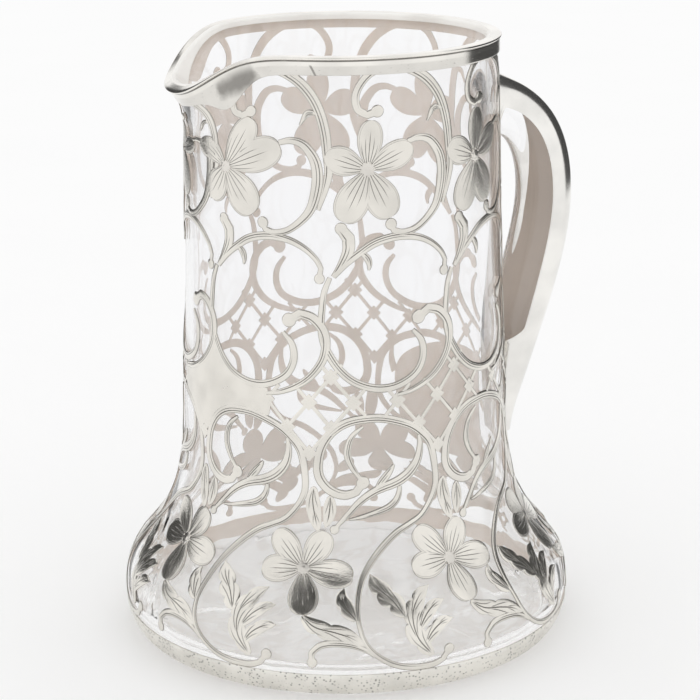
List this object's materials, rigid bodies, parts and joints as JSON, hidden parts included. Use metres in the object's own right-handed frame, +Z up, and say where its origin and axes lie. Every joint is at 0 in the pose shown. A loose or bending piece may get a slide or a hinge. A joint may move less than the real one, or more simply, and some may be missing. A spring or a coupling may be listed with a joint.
{
  "type": "claret jug",
  "caption": "Blown glass jug with pulled spout and loop handle, cased in pierced silver scrolls, flowers and trellis, with silver rim and foot bands and a bare shield.",
  "frame": {"origin": "centre of the flat underside, on the surface that the jug stands on", "axes": "+Z up along the jug's axis, +X towards the handle, -X towards the spout"},
  "size_m": [0.1746, 0.171, 0.2269],
  "materials": {
    "clear_glass": "fire polished",
    "polished_silver": "polished, engraved by hand",
    "stippled_silver": "stippled and burnished"
  },
  "bodies": {
    "root": {"glass_body": "clear_glass", "glass_handle": "clear_glass", "rim_mount": "polished_silver", "handle_silver": "polished_silver", "foot_band": "stippled_silver", "shield": "polished_silver", "back_panel": "polished_silver", "upper_flowers": "polished_silver", "upper_scrolls": "polished_silver", "middle_scrolls": "polished_silver", "trellis": "polished_silver", "lower_scrolls": "polished_silver", "lower_flowers": "polished_silver", "main_stems": "polished_silver", "leaves": "polished_silver", "foot_scrolls": "polished_silver"}
  },
  "joints": []
}
